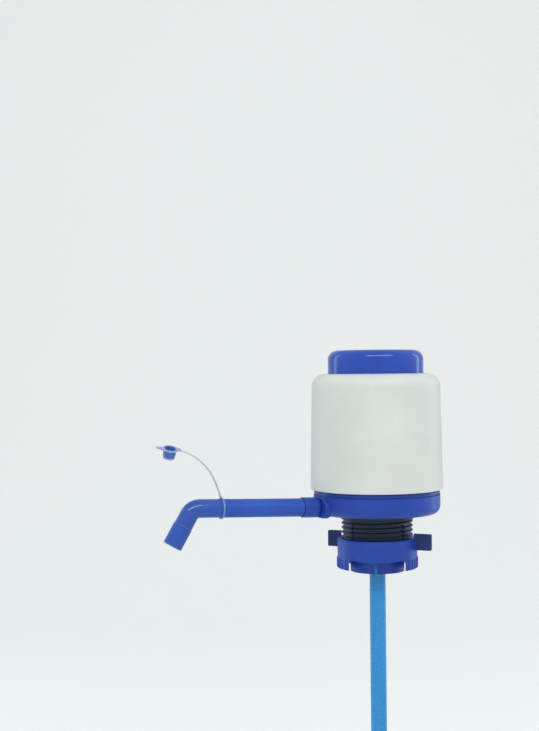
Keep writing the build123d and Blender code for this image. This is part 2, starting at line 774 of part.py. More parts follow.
def make_tethered_plug():
    """One moulding: ring that turns on the spout, thin strap, hollow plug."""
    middle = ring_reach - outlet_reach
    hoop = lying(journal_radius + swivel_gap + ring_wall, middle - ring_width / 2, middle + ring_width / 2)
    hoop -= lying(journal_radius + swivel_gap, middle - ring_width, middle + ring_width)
    route = Spline(*[(-middle - far, 0, high) for far, high in strap_route])
    section = Plane(route @ 0, x_dir=(0, 1, 0), z_dir=route % 0) * Rectangle(strap_width, strap_thickness)
    strap = sweep(section, route)
    head = Pos(-middle - plug_place[0], 0, plug_place[1] - plug_flange_thickness / 2)
    head = head * Rot(0, plug_pitch, 0) * Rot(plug_tilt, 0, 0) * make_plug_head()
    return spout_frame * (hoop + strap + head)


# ---------------------------------------------------------------- dip tube
def make_dip_tube_seal():
    """Rubber ring in the socket's groove, round the dip tube."""
    low = -socket_depth + seal_section + push_gap
    high = -socket_depth + 2 * seal_section - push_gap
    return ring(dip_radius + push_gap, dip_radius + seal_wall - push_gap, low, high)


def make_dip_tube(top, bottom):
    """One straight length of the dip tube."""
    return ring(dip_radius - dip_wall, dip_radius, bottom, top)


def make_dip_foot():
    """Lower length, with two notches in its end so that it can't seal itself on the bottle's floor."""
    body = make_dip_tube(dip_joint - coupler_stop, dip_end)
    half = foot_notch_width / 2
    outline = Polyline((-half, 0), (half, 0), (0, foot_notch_height), close=True)
    notch = extrude(Plane.XZ * make_face(outline), dip_dia, both=True)
    return body - Pos(0, 0, dip_end) * notch


def make_coupler():
    """Sleeve that joins the two lengths of dip tube, with a stop in the middle."""
    middle = dip_joint - coupler_stop / 2
    half = coupler_length / 2
    body = ring(dip_radius + push_gap, dip_radius + push_gap + coupler_wall, middle - half, middle + half)
    low = middle - coupler_stop / 2
    return body + ring(dip_radius - dip_wall, dip_radius + 2 * push_gap, low, low + coupler_stop)


# ---------------------------------------------------------------- screws
def make_screw(bearing, upwards):
    """Self-tapping screw whose head bears at a height, its shank going up or down from there."""
    body = disc(screw_head_radius, 0, screw_head_height) + disc(screw_radius, -screw_length, 0)
    for turn in (0, 90):
        slot = Rot(0, 0, turn) * Box(screw_slot_length, screw_slot, 2 * screw_slot_depth)
        body -= Pos(0, 0, screw_head_height) * slot
    if upwards:
        body = Rot(180, 0, 0) * body
    return Pos(0, 0, bearing) * body


# ---------------------------------------------------------------- all pieces
def main():
    """Write one STEP file per piece."""
    pieces = {
        "push_cap": make_push_cap(),
        "cover": make_cover(),
        "bellows_head": make_bellows_head(),
        "intake_valve_disc": valve_disc(head_bottom),
        "intake_valve_pin": valve_pin(head_bottom, head_top),
        "bellows": make_bellows(),
        "bellows_clamp_ring": make_clamp_ring(),
        "deck_plate": make_deck_plate(),
        "check_valve_disc": valve_disc(deck_bottom),
        "check_valve_pin": valve_pin(deck_bottom, deck_top),
        "base_drum": make_base_drum(),
        "water_elbow": make_water_elbow(),
        "dip_tube_socket": make_dip_tube_socket(),
        "dip_tube_seal": make_dip_tube_seal(),
        "dip_tube_upper": make_dip_tube(dip_top_above_seat, dip_joint),
        "dip_tube_coupler": make_coupler(),
        "dip_tube_lower": make_dip_foot(),
        "threaded_neck": make_threaded_neck(),
        "neck_gasket": make_gasket(),
        "grip_ring": make_grip_ring(),
        "clamp_nut": make_clamp_nut(),
        "spout_collar": make_spout_collar(),
        "spout_tube": make_spout_tube(),
        "spout_o_ring": make_o_ring(),
        "spout_elbow": make_spout_elbow(),
        "nozzle_sleeve": make_nozzle_sleeve(),
        "tethered_plug": make_tethered_plug(),
    }
    ring_top = deck_top + bellows_flange_thickness + clamp_ring_thickness
    for i, place in enumerate(around(screw_count, deck_screw_circle, screw_phase)):
        pieces[f"deck_screw_{i + 1}"] = place * make_screw(ring_top, upwards=False)
    neck_bearing = plate_bottom + screw_head_height
    for i, place in enumerate(around(screw_count, neck_screw_circle, screw_phase)):
        pieces[f"neck_screw_{i + 1}"] = place * make_screw(neck_bearing, upwards=True)
    for name, piece in pieces.items():
        export_step(piece, f"parts/{name}.step")
        print(f"{name:20s} {piece.volume:10.1f} mm3  solids {len(piece.solids())}")


main()
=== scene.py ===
# %% [markdown]
# # Dressing a hand pump for water bottles
# The pump is a stack of moulded pieces: a push cap and a white cover on top, a blue drum with a
# long spout, a dark threaded neck with its wing nut, and a dip tube that hangs below. The packed
# model already holds every piece at its real size, so the work here is light, camera, finishes,
# and the two soft mouldings: the plug on its strap, and the bellows that fold under the cap.
# The frame is loaded first, because everything that follows is placed by its numbers.

import math

import bmesh
import bpy
from mathutils import Matrix, Vector


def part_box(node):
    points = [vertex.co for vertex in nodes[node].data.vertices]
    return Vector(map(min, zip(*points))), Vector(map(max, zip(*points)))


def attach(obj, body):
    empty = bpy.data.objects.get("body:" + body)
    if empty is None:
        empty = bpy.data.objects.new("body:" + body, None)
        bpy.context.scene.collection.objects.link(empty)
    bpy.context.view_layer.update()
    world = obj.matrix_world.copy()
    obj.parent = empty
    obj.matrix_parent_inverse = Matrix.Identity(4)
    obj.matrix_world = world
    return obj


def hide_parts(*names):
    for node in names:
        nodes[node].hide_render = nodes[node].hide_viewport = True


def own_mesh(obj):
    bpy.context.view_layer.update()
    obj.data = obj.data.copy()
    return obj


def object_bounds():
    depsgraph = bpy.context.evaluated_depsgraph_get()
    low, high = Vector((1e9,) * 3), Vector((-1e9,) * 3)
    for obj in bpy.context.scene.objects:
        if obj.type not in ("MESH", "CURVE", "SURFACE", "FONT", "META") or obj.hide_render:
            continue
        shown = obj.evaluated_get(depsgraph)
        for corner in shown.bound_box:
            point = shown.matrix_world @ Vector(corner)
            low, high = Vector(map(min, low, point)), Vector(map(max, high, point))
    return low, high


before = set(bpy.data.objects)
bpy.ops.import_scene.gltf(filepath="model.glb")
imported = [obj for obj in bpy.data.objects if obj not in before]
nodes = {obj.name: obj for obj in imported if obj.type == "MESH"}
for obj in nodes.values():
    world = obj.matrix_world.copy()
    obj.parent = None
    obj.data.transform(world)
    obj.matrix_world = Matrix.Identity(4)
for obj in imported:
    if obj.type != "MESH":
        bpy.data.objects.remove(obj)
cad_box = [list(corner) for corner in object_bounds()]

# %% [markdown]
# ## The camera
# A long lens from a little over a metre away keeps the uprights upright and shows how the rims of
# the cover and the drum curve. The lens is level with the cover's top, so the cap's roof is not
# seen and the drum's underside stays hidden. Building the camera from an angle, a distance and a
# lateral shift keeps each of these facts as one number that can be changed by itself.

# %% Place the camera
FRAME_SIZE = (539, 731)         # pixels, width and height
FOCAL_PIXELS = 1262.3
VIEW_DISTANCE = 1.200           # from the pump's axis, in metres
EYE_ABOVE_COVER = 0.0051
VIEW_AZIMUTH = math.radians(-22.0)
AXIS_OFFSET = 0.1007            # the axis lies this far right of the picture's middle
PITCH = math.radians(0.17)
ROLL = math.radians(-0.56)
SENSOR_WIDTH = 36.0             # millimetres

to_camera = Vector((math.sin(VIEW_AZIMUTH), -math.cos(VIEW_AZIMUTH), 0))
picture_right = Vector((math.cos(VIEW_AZIMUTH), math.sin(VIEW_AZIMUTH), 0))
eye_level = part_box("cover")[1].z + EYE_ABOVE_COVER
eye = to_camera * VIEW_DISTANCE - picture_right * AXIS_OFFSET + Vector((0, 0, eye_level))

lens = bpy.data.cameras.new("picture_camera")
lens.sensor_width = SENSOR_WIDTH
lens.lens = FOCAL_PIXELS / max(FRAME_SIZE) * SENSOR_WIDTH
camera = bpy.data.objects.new("picture_camera", lens)
bpy.context.scene.collection.objects.link(camera)
level = Matrix((picture_right, Vector((0, 0, 1)), to_camera)).transposed().to_4x4()
camera.matrix_world = (Matrix.Translation(eye) @ level
                       @ Matrix.Rotation(PITCH, 4, "X") @ Matrix.Rotation(ROLL, 4, "Z"))
bpy.context.scene.camera = camera
print("lens", round(lens.lens, 1), "mm, eye at", [round(x, 3) for x in eye])

# %% [markdown]
# ## Floor and backdrop
# The pump normally stands on its bottle, which is not part of the piece. Here the dip tube's foot
# just touches a pale floor, and the floor curls up into a backdrop far behind, as a paper roll does
# in a studio. A single curved sheet has no corner to catch the eye. Both are stage, not object.

# %% Sweep the paper roll
FLOOR_LEVEL = cad_box[0][2]
ROLL_REACH = 3.0
ROLL_CURVE = 1.4
ROLL_HEIGHT = 4.0
ROLL_HALF_WIDTH = 5.0
CURVE_STEPS = 24


def paper_profile():
    """Points (distance behind the pump, height) from the front edge to the top edge."""
    points = [(-ROLL_REACH, 0.0), (ROLL_REACH - ROLL_CURVE, 0.0)]
    for step in range(1, CURVE_STEPS + 1):
        turn = math.pi / 2 * step / CURVE_STEPS
        points.append((ROLL_REACH - ROLL_CURVE + ROLL_CURVE * math.sin(turn),
                       ROLL_CURVE - ROLL_CURVE * math.cos(turn)))
    return points + [(ROLL_REACH, ROLL_HEIGHT)]


def finished_object(name, mesh):
    """Object in the scene from a mesh that is done."""
    data = bpy.data.meshes.new(name)
    mesh.to_mesh(data)
    mesh.free()
    made = bpy.data.objects.new(name, data)
    bpy.context.scene.collection.objects.link(made)
    return made


def sweep_paper(name):
    """The paper roll, square to the camera."""
    mesh = bmesh.new()
    rows = []
    for back, height in paper_profile():
        middle = -to_camera * back + Vector((0, 0, FLOOR_LEVEL + height))
        rows.append([mesh.verts.new(middle + picture_right * side * ROLL_HALF_WIDTH) for side in (-1, 1)])
    for low, high in zip(rows, rows[1:]):
        mesh.faces.new((low[0], low[1], high[1], high[0])).smooth = True
    paper = finished_object(name, mesh)
    return paper


paper_roll = sweep_paper("paper_roll")
print("floor at", round(FLOOR_LEVEL, 4), "m")

# %% [markdown]
# ## Lamps
# Moulded plastic shows its shape through reflections, so the lamps are large and few: a long, low
# softbox in front and above draws the streak on the cap's round edge and on the spout's bend, two
# tall strips behind light the silhouettes, both cool and the right one a little stronger, and a pale
# world fills the rest. A round edge shrinks what it reflects: a streak 25 mm long on a cap of this
# size needs a lamp more than two metres wide. The strengths are set so that a surface comes out at
# about the colour that its material says.

# %% Hang the lamps
SOFTBOX_SIZE = (2.40, 0.42)     # metres
SOFTBOX_POWER = 23.0            # watts
STRIP_SIZE = (0.45, 1.90)
STRIP_ASIDE, STRIP_BEHIND, STRIP_HEIGHT = 1.8, 0.9, 0.35
LEFT_STRIP_POWER = 5.5
RIGHT_STRIP_POWER = 6.5
NEUTRAL = (1.0, 1.0, 1.0)
COOL = (0.50, 0.86, 1.0)
WORLD_COLOUR = (0.95, 0.95, 0.94)
WORLD_LIGHT = 0.66
PUMP_MIDDLE = Vector((0, 0, 0.05))


def hang_lamp(name, sideways, forward, height, size, power, colour):
    """Area lamp placed by the picture's own directions and aimed at the pump's middle."""
    light = bpy.data.lights.new(name, "AREA")
    light.color = colour
    light.shape = "RECTANGLE"
    light.size, light.size_y = size
    light.energy = power
    lamp = bpy.data.objects.new(name, light)
    lamp.location = picture_right * sideways + to_camera * forward + Vector((0, 0, height))
    aim = (PUMP_MIDDLE - lamp.location).to_track_quat("-Z", "Y")
    lamp.rotation_euler = aim.to_euler()
    lamp.visible_camera = False
    bpy.context.scene.collection.objects.link(lamp)
    return lamp


softbox = hang_lamp("softbox", 0.15, 1.55, 1.70, SOFTBOX_SIZE, SOFTBOX_POWER, NEUTRAL)
left_strip = hang_lamp("left_strip", -STRIP_ASIDE, -STRIP_BEHIND, STRIP_HEIGHT, STRIP_SIZE,
                       LEFT_STRIP_POWER, COOL)
right_strip = hang_lamp("right_strip", STRIP_ASIDE, -STRIP_BEHIND, STRIP_HEIGHT, STRIP_SIZE,
                        RIGHT_STRIP_POWER, COOL)
print("lamps", [lamp.name for lamp in (softbox, left_strip, right_strip)])

# %% [markdown]
# The world lights the pump softly from everywhere. What the camera, glossy rays and see-through
# plastic meet when they leave the paper is white, so the background stays clean without more light.

# %% Fill with the world
BACKDROP_WHITE = (0.92, 0.94, 0.94, 1)
PAPER_LIFT = 0.15               # how much whiter the paper looks to the lens alone


def build_world():
    """Soft fill for diffuse light, clean white for camera, glossy and transmitted rays."""
    world = bpy.data.worlds.new("studio_world")
    bpy.context.scene.world = world
    world.use_nodes = True
    tree = world.node_tree
    tree.nodes.clear()
    out = tree.nodes.new("ShaderNodeOutputWorld")
    fill = tree.nodes.new("ShaderNodeBackground")
    fill.inputs["Color"].default_value = (*WORLD_COLOUR, 1)
    fill.inputs["Strength"].default_value = WORLD_LIGHT
    seen = tree.nodes.new("ShaderNodeBackground")
    seen.inputs["Color"].default_value = BACKDROP_WHITE
    path = tree.nodes.new("ShaderNodeLightPath")
    total = path.outputs["Is Camera Ray"]
    for ray in ("Is Glossy Ray", "Is Transmission Ray"):
        add = tree.nodes.new("ShaderNodeMath")
        add.operation = "MAXIMUM"
        tree.links.new(total, add.inputs[0])
        tree.links.new(path.outputs[ray], add.inputs[1])
        total = add.outputs[0]
    mix = tree.nodes.new("ShaderNodeMixShader")
    tree.links.new(total, mix.inputs["Fac"])
    tree.links.new(fill.outputs[0], mix.inputs[1])
    tree.links.new(seen.outputs[0], mix.inputs[2])
    tree.links.new(mix.outputs[0], out.inputs["Surface"])


build_world()
bpy.context.scene.view_settings.view_transform = "Standard"

# %% [markdown]
# ## Finishes
# Most pieces are injection moulded, so one recipe serves them, with other numbers for each
# plastic. A material could be painted on a picture, but a picture needs an unwrapped surface and
# goes soft close up. Noise in the piece's own space needs neither: the pieces are in metres, so a
# scale of 700 is a grain of about one and a half millimetres wherever it falls.
# The first helpers only make node trees shorter to write.

# %% Node helpers
def hue(red, green, blue):
    """Screen colour from 0 to 255 as the linear values that shaders take."""
    return tuple(((c / 255 + 0.055) / 1.055) ** 2.4 for c in (red, green, blue)) + (1.0,)


class Recipe:
    """A material and the few node steps that the finishes share."""

    def __init__(self, name):
        self.material = bpy.data.materials.new(name)
        self.material.use_nodes = True
        self.tree = self.material.node_tree
        self.shader = self.tree.nodes["Principled BSDF"]
        self.space = self.node("ShaderNodeTexCoord").outputs["Object"]

    def node(self, kind, **settings):
        """New node; each setting is one of its properties or one of its inputs."""
        made = self.tree.nodes.new(kind)
        for key, value in settings.items():
            socket = key.replace("_", " ").title()
            if socket in made.inputs:
                self.feed(made.inputs[socket], value)
            else:
                setattr(made, key, value)
        return made

    def feed(self, socket, value):
        """Link an output to a socket, or set the socket."""
        if isinstance(value, bpy.types.NodeSocket):
            self.tree.links.new(value, socket)
        else:
            socket.default_value = value

    def set(self, **values):
        """Numbers and links for the shader's own sockets."""
        for key, value in values.items():
            self.feed(self.shader.inputs[key.replace("_", " ").title().replace("Ior", "IOR")], value)

    def noise(self, scale, detail=2.0, stretch=(1, 1, 1), rough=0.5):
        """Noise of a given scale per metre, stretched along the axes of the piece."""
        place = self.node("ShaderNodeMapping", vector=self.space, scale=stretch)
        return self.node("ShaderNodeTexNoise", vector=place.outputs[0], scale=scale, detail=detail,
                         roughness=rough).outputs["Fac"]

    def span(self, value, low, high, from_low=0.3, from_high=0.7):
        """Map a value from one range to another, and hold it there."""
        return self.node("ShaderNodeMapRange", value=value, from_min=from_low, from_max=from_high,
                         to_min=low, to_max=high).outputs["Result"]

    def blend(self, share, first, second):
        """Mix two colours."""
        mix = self.node("ShaderNodeMix", data_type="RGBA")
        self.feed(mix.inputs[0], share)
        self.feed(mix.inputs[6], first)
        self.feed(mix.inputs[7], second)
        return mix.outputs[2]

    def maths(self, operation, first, second=0.0):
        """One sum on two values."""
        made = self.node("ShaderNodeMath", operation=operation)
        self.feed(made.inputs[0], first)
        self.feed(made.inputs[1], second)
        return made.outputs[0]


# %% [markdown]
# ## The moulded finish
# Looked at closely, a moulding is never one flat colour. Its gloss wavers like orange peel where
# the steel mould was polished by hand, its pigment drifts a little in the melt, handling leaves
# hairlines, and edges turn paler where they are rubbed. On the spout and its sleeve the edges are
# made much paler still, and there the paling is also a painted highlight: the thin pale line that
# their edges and the sleeve's step show where they catch the light from above. A bevel node lends
# every sharp CAD edge the tiny round that a mould gives it, and the difference between that rounded
# normal and the true one tells where the edges are, so one node makes the round, the wear and
# that painted highlight.

# %% The moulded finish
EDGE_ROUND = 0.00035            # the round that a mould leaves on an edge, in metres
PEEL_SCALE = 520                # orange peel, about two millimetres across
SPARK_SCALE = 5200              # the mould's own fine texture
DRIFT_SCALE = 22                # slow drift of the pigment
HAIRLINE_SCALE = 38
HAIRLINE_WIDTH = 0.006          # how near to its middle value the noise counts as a line
HAIRLINE_PATCH = (0.48, 0.62)   # noise values between which a patch of lines fades in
EDGE_LEAN = (0.86, 0.995)       # the normals' dot product on an edge, and where the edge ends
BEVEL_SAMPLES = 4
PEEL_DEPTH = 0.00012            # metres
SPARK_DEPTH = 0.00003
# paler edge colour: rubbed wear, and on the spout and the sleeve also a painted highlight
RUBBED_AND_LIT_GAIN = 1.25              # rubbed plastic against fresh
GLOSS_WAVER = (0.85, 1.2)       # smallest and largest share of the stated roughness
LINE_ROUGH, EDGE_ROUGH = 0.22, 0.12


def edge_mask(recipe, rounded):
    """One on edges, nought on open faces: how far the rounded normal leans from the true one."""
    true = recipe.node("ShaderNodeNewGeometry").outputs["Normal"]
    lean = recipe.node("ShaderNodeVectorMath", operation="DOT_PRODUCT")
    recipe.feed(lean.inputs[0], rounded)
    recipe.feed(lean.inputs[1], true)
    return recipe.span(lean.outputs["Value"], 1.0, 0.0, *EDGE_LEAN)


def hairlines(recipe):
    """Thin wandering lines where slow noise crosses its middle value, kept to a few patches."""
    wander = recipe.noise(HAIRLINE_SCALE, detail=4.0, stretch=(1, 1, 0.35))
    off_middle = recipe.maths("ABSOLUTE", recipe.maths("SUBTRACT", wander, 0.5))
    line = recipe.span(off_middle, 1.0, 0.0, 0.0, HAIRLINE_WIDTH)
    patch = recipe.span(recipe.noise(HAIRLINE_SCALE / 2, detail=1.0), 0.0, 1.0, *HAIRLINE_PATCH)
    return recipe.maths("MULTIPLY", line, patch)


def moulded(name, colour, gloss, peel=0.22, spark=0.10, wear_and_highlight=0.45, scratch=0.25, drift=0.10, rub_and_light=0.07,
            edge=EDGE_ROUND, **extra):
    """Moulded plastic: colour, roughness, then how strongly each kind of detail shows."""
    recipe = Recipe(name)
    rounded = recipe.node("ShaderNodeBevel", samples=BEVEL_SAMPLES, radius=edge).outputs["Normal"]
    edges = edge_mask(recipe, rounded)
    lines = hairlines(recipe)
    darker = tuple(c * (1 - drift) for c in colour[:3]) + (1.0,)
    lighter = tuple(min(1.0, c * (1 + drift)) for c in colour[:3]) + (1.0,)
    rubbed_and_lit = tuple(min(1.0, c * RUBBED_AND_LIT_GAIN + rub_and_light) for c in colour[:3]) + (1.0,)
    body = recipe.blend(recipe.span(recipe.noise(DRIFT_SCALE), 0.0, 1.0), darker, lighter)
    body = recipe.blend(recipe.maths("MULTIPLY", edges, wear_and_highlight), body, rubbed_and_lit)
    body = recipe.blend(recipe.maths("MULTIPLY", lines, scratch), body, rubbed_and_lit)
    waver = recipe.span(recipe.noise(DRIFT_SCALE * 3), *(gloss * share for share in GLOSS_WAVER))
    rough = recipe.maths("ADD", waver, recipe.maths("MULTIPLY", lines, LINE_ROUGH))
    rough = recipe.maths("ADD", rough, recipe.maths("MULTIPLY", edges, EDGE_ROUGH))
    orange_peel = recipe.node("ShaderNodeBump", strength=peel, distance=PEEL_DEPTH,
                              height=recipe.noise(PEEL_SCALE, detail=1.0), normal=rounded)
    sparks = recipe.node("ShaderNodeBump", strength=spark, distance=SPARK_DEPTH,
                         height=recipe.noise(SPARK_SCALE, detail=2.0), normal=orange_peel.outputs[0])
    recipe.set(base_color=body, roughness=rough, normal=sparks.outputs[0], **extra)
    return recipe


blue_cap = moulded("polished_blue", hue(33, 72, 176), gloss=0.13, peel=0.10, specular_ior_level=0.36)
blue_drum = moulded("satin_blue", hue(35, 70, 168), gloss=0.36, specular_ior_level=0.30)
blue_nut = moulded("nut_blue", hue(35, 70, 168), gloss=0.36, specular_ior_level=0.30)
# The spout and the sleeve have strong edge paling: partly rubbed wear, partly a painted highlight where their
# edges and the sleeve's step catch the light.
blue_spout = moulded("spout_blue", hue(40, 82, 178), gloss=0.38, wear_and_highlight=0.8, specular_ior_level=0.30)
blue_elbow = moulded("elbow_blue", hue(40, 80, 172), gloss=0.12, peel=0.08, specular_ior_level=0.42)
blue_sleeve = moulded("sleeve_blue", hue(42, 82, 178), gloss=0.34, wear_and_highlight=1.0, rub_and_light=0.26, edge=0.0008,
                      scratch=0.06, specular_ior_level=0.32)
white_cover = moulded("cover_white", hue(217, 221, 216), gloss=0.42, wear_and_highlight=0.5, drift=0.03, scratch=0.12,
                      subsurface_weight=0.06, subsurface_scale=0.002)
dark_neck = moulded("neck_charcoal", hue(27, 39, 56), gloss=0.40, wear_and_highlight=0.25, specular_ior_level=0.34,
                    sheen_weight=0.7, sheen_roughness=0.3, sheen_tint=(0.36, 0.50, 1.0, 1.0))
white_inner = moulded("inner_white", hue(226, 227, 220), gloss=0.45, drift=0.03)
natural_bellows = moulded("natural_bellows", hue(214, 217, 205), gloss=0.40, drift=0.04,
                          subsurface_weight=0.3, subsurface_scale=0.002)
print("moulded finishes", [m.name for m in bpy.data.materials if m.node_tree and len(m.node_tree.nodes) > 20])

# %% [markdown]
# The nut's wings are thin fins that stand in the shade of the drum above them, so they look darker
# than its body. They belong to the same moulding, so they can't have a material of their own: the
# finish paints that shade on them, and finds them by how far a point is from the nut's axis. This
# painted shade is in the finish, not in the light, so it shows from every side.

# %% Paint shade on the wings
WING_START = 0.0388             # from the nut's axis, in metres
WING_FADE = 0.0012              # over which the shade comes in
# colour of the shade painted on the wings
WING_PAINTED_SHADE = hue(25, 47, 92)
WING_SHARE = 0.85               # how much of the shade shows


def paint_wing_shade(recipe):
    """Paint shade on the wings: blend to a darker colour beyond the nut's own radius."""
    flat = recipe.node("ShaderNodeMapping", vector=recipe.space, scale=(1, 1, 0))
    reach = recipe.node("ShaderNodeVectorMath", operation="LENGTH")
    recipe.feed(reach.inputs[0], flat.outputs[0])
    painted_shade_mask = recipe.span(reach.outputs["Value"], 0.0, WING_SHARE, WING_START, WING_START + WING_FADE)
    body = recipe.shader.inputs["Base Color"].links[0].from_socket
    recipe.set(base_color=recipe.blend(painted_shade_mask, body, WING_PAINTED_SHADE))


paint_wing_shade(blue_nut)

# %% [markdown]
# ## See-through plastic, rubber and steel
# The dip tube and the plug are thin and let light through. Real clear plastic scatters a little, so
# the transmission is not complete and the surface is not a perfect mirror; what keeps it from
# looking like glass is the faint ripple that extrusion leaves along the tube. Thin clear edges gather
# light, so their rims get a painted highlight, a paler colour in the finish; a smooth skin has no
# sharp edges to find, so it may mark its rims for that highlight itself. Rubber is matt with a fine
# tooth, and the screws are turned steel with rings round their axis.

# %% See-through plastic, rubber and steel
CLEAR_IOR = 1.47
# the rims' paler colour is a painted highlight of the light that thin edges gather
DEEPER, RIM_HIGHLIGHT_WHITE = 0.86, 0.55      # share of the colour kept in its depths; share of white on its rims
RIPPLE_DEPTH = 0.0002           # metres
TOOTH_DEPTH = 0.00006
TURNING_DEPTH = 0.00004
TURNING_SCALE = 900.0


def clear(name, colour, passing, gloss, ripple=0.15, stretch=(1, 1, 0.05), rim=0.5, **extra):
    """Translucent plastic: colour, share of light that passes, roughness; its rims get a painted highlight, a
    paler colour.
    """
    recipe = Recipe(name)
    rounded = recipe.node("ShaderNodeBevel", samples=BEVEL_SAMPLES, radius=EDGE_ROUND).outputs["Normal"]
    drift = recipe.span(recipe.noise(DRIFT_SCALE * 2, stretch=stretch), 0.0, 1.0)
    deeper = tuple(c * DEEPER for c in colour[:3]) + (1.0,)
    rim_highlight = tuple(c + (1 - c) * RIM_HIGHLIGHT_WHITE for c in colour[:3]) + (1.0,)
    marked_for_highlight = recipe.node("ShaderNodeAttribute", attribute_name="rim").outputs["Fac"]
    highlight_share = recipe.maths("MAXIMUM", edge_mask(recipe, rounded), marked_for_highlight)
    highlight_share = recipe.maths("MULTIPLY", highlight_share, rim)
    body = recipe.blend(highlight_share, recipe.blend(drift, deeper, colour), rim_highlight)
    waves = recipe.node("ShaderNodeBump", strength=ripple, distance=RIPPLE_DEPTH,
                        height=recipe.noise(PEEL_SCALE / 3, stretch=stretch), normal=rounded)
    rough = recipe.span(recipe.noise(DRIFT_SCALE * 6), gloss - 0.05, gloss + 0.07)
    recipe.set(base_color=body, roughness=rough, normal=waves.outputs[0], transmission_weight=passing,
               ior=CLEAR_IOR, **extra)
    return recipe


def rubber(name, colour):
    """Matt rubber with a fine tooth and a little bloom."""
    recipe = Recipe(name)
    bloom = recipe.span(recipe.noise(DRIFT_SCALE * 3, detail=5.0), 0.0, 1.0, 0.42, 0.72)
    paler = tuple(c * 2.2 + 0.01 for c in colour[:3]) + (1.0,)
    tooth = recipe.node("ShaderNodeBump", strength=0.5, distance=TOOTH_DEPTH,
                        height=recipe.noise(SPARK_SCALE, detail=4.0))
    recipe.set(base_color=recipe.blend(bloom, colour, paler), roughness=recipe.span(bloom, 0.62, 0.85),
               normal=tooth.outputs[0], sheen_weight=0.15)
    return recipe


def turned_steel(name):
    """Zinc-plated steel: rings from the lathe, cloudy plating."""
    recipe = Recipe(name)
    cloud = recipe.span(recipe.noise(DRIFT_SCALE * 14, detail=4.0), 0.0, 1.0)
    rings = recipe.node("ShaderNodeTexWave", wave_type="RINGS", rings_direction="Z",
                        vector=recipe.space, scale=TURNING_SCALE, distortion=1.5)
    turning = recipe.node("ShaderNodeBump", strength=0.25, distance=TURNING_DEPTH,
                          height=rings.outputs["Fac"])
    recipe.set(base_color=recipe.blend(cloud, hue(150, 153, 156), hue(192, 194, 193)), metallic=1.0,
               roughness=recipe.span(cloud, 0.24, 0.42), normal=turning.outputs[0])
    return recipe


tube_blue = clear("dip_tube_blue", hue(52, 172, 244), passing=0.35, gloss=0.26, ripple=0.04)
strap_clear = clear("strap_clear", hue(205, 228, 236), passing=0.30, gloss=0.30, stretch=(1, 1, 1))
ring_clear = clear("ring_clear", hue(138, 170, 232), passing=0.40, gloss=0.28, stretch=(1, 1, 1))
plug_blue = clear("plug_blue", hue(86, 132, 222), passing=0.35, gloss=0.22, stretch=(1, 1, 1), rim=0.75,
                  sheen_weight=0.6, sheen_roughness=0.3, sheen_tint=(0.62, 0.80, 1.0, 1.0))
black_rubber = rubber("black_rubber", hue(26, 26, 28))
steel = turned_steel("plated_steel")
paper = Recipe("studio_paper")
paper_grain = paper.span(paper.noise(900, detail=3.0), 0, 1)
paper_white = paper.blend(paper_grain, hue(240, 242, 242), hue(246, 248, 248))
seen_directly = paper.node("ShaderNodeLightPath").outputs["Is Camera Ray"]
paper.set(base_color=paper_white, emission_color=paper_white, roughness=0.9,
          emission_strength=paper.maths("MULTIPLY", seen_directly, PAPER_LIFT))
paper_roll.data.materials.append(paper.material)
print("all finishes:", len(bpy.data.materials))

# %% [markdown]
# ## The plug on its strap
# The plug, its strap and the ring that turns on the spout come out of one small mould in soft,
# see-through plastic. The ring is a plain lathe shape, the strap a thin ribbon swept along a curve,
# and the plug a cup whose flange runs out into a finger tab on one side and a gusset on the other.
# A flange like that could be cut from a disc and a plate, but a lathe whose rim changes with the
# angle gives it in one closed skin, with the round that such soft edges have.
# The spout climbs a little, so everything is made in the spout's own frame.

# %% The spout's frame and two makers
MM = 0.001
SPOUT_START = Vector((-61.2, 0, 14.0)) * MM
SPOUT_RISE = math.radians(2.3)
LATHE_SIDES = 96
WELD = 1e-7                     # points nearer than this are one, in metres
spout_frame = Matrix.Translation(SPOUT_START) @ Matrix.Rotation(SPOUT_RISE, 4, "Y")


def rounded(points, radius, steps=4):
    """Profile with its inner corners turned into arcs; the two ends stay."""
    smooth = [Vector(points[0])]
    for before, corner, after in zip(points, points[1:], points[2:]):
        before, corner, after = Vector(before), Vector(corner), Vector(after)
        reach = min(radius, (before - corner).length / 2, (after - corner).length / 2)
        start = corner + (before - corner).normalized() * reach
        end = corner + (after - corner).normalized() * reach
        for step in range(steps + 1):
            share = step / steps
            smooth.append(start.lerp(corner, share).lerp(corner.lerp(end, share), share))
    return smooth + [Vector(points[-1])]


def skin(name, rows, frame_matrix, closed_rows=True, caps=False):
    """Smooth mesh through rows of points, each row a loop round the piece."""
    mesh = bmesh.new()
    made = [[mesh.verts.new(frame_matrix @ (point * MM)) for point in row] for row in rows]
    count = len(rows[0])
    pairs = list(zip(made, made[1:])) + ([(made[-1], made[0])] if closed_rows else [])
    for near, far in pairs:
        for i in range(count):
            j = (i + 1) % count
            mesh.faces.new((near[i], near[j], far[j], far[i])).smooth = True
    if caps:
        mesh.faces.new(made[0])
        mesh.faces.new(made[-1])
    bmesh.ops.remove_doubles(mesh, verts=mesh.verts, dist=WELD)
    bmesh.ops.recalc_face_normals(mesh, faces=mesh.faces)
    return finished_object(name, mesh)


def at_turn(profile, turn):
    """A profile of (radius, height) points, standing at an angle round Z."""
    return [Vector((r * math.cos(turn), r * math.sin(turn), z)) for r, z in profile]


def lathe(profile):
    """Rows for a profile of (radius, height) points turned about Z."""
    return [at_turn(profile, 2 * math.pi * i / LATHE_SIDES) for i in range(LATHE_SIDES)]


# %% [markdown]
# The ring is a flat hoop that stands a little off its journal, so that it can turn. It is made as a
# short closed profile round the spout's centre line, its corners rounded as soft plastic is.

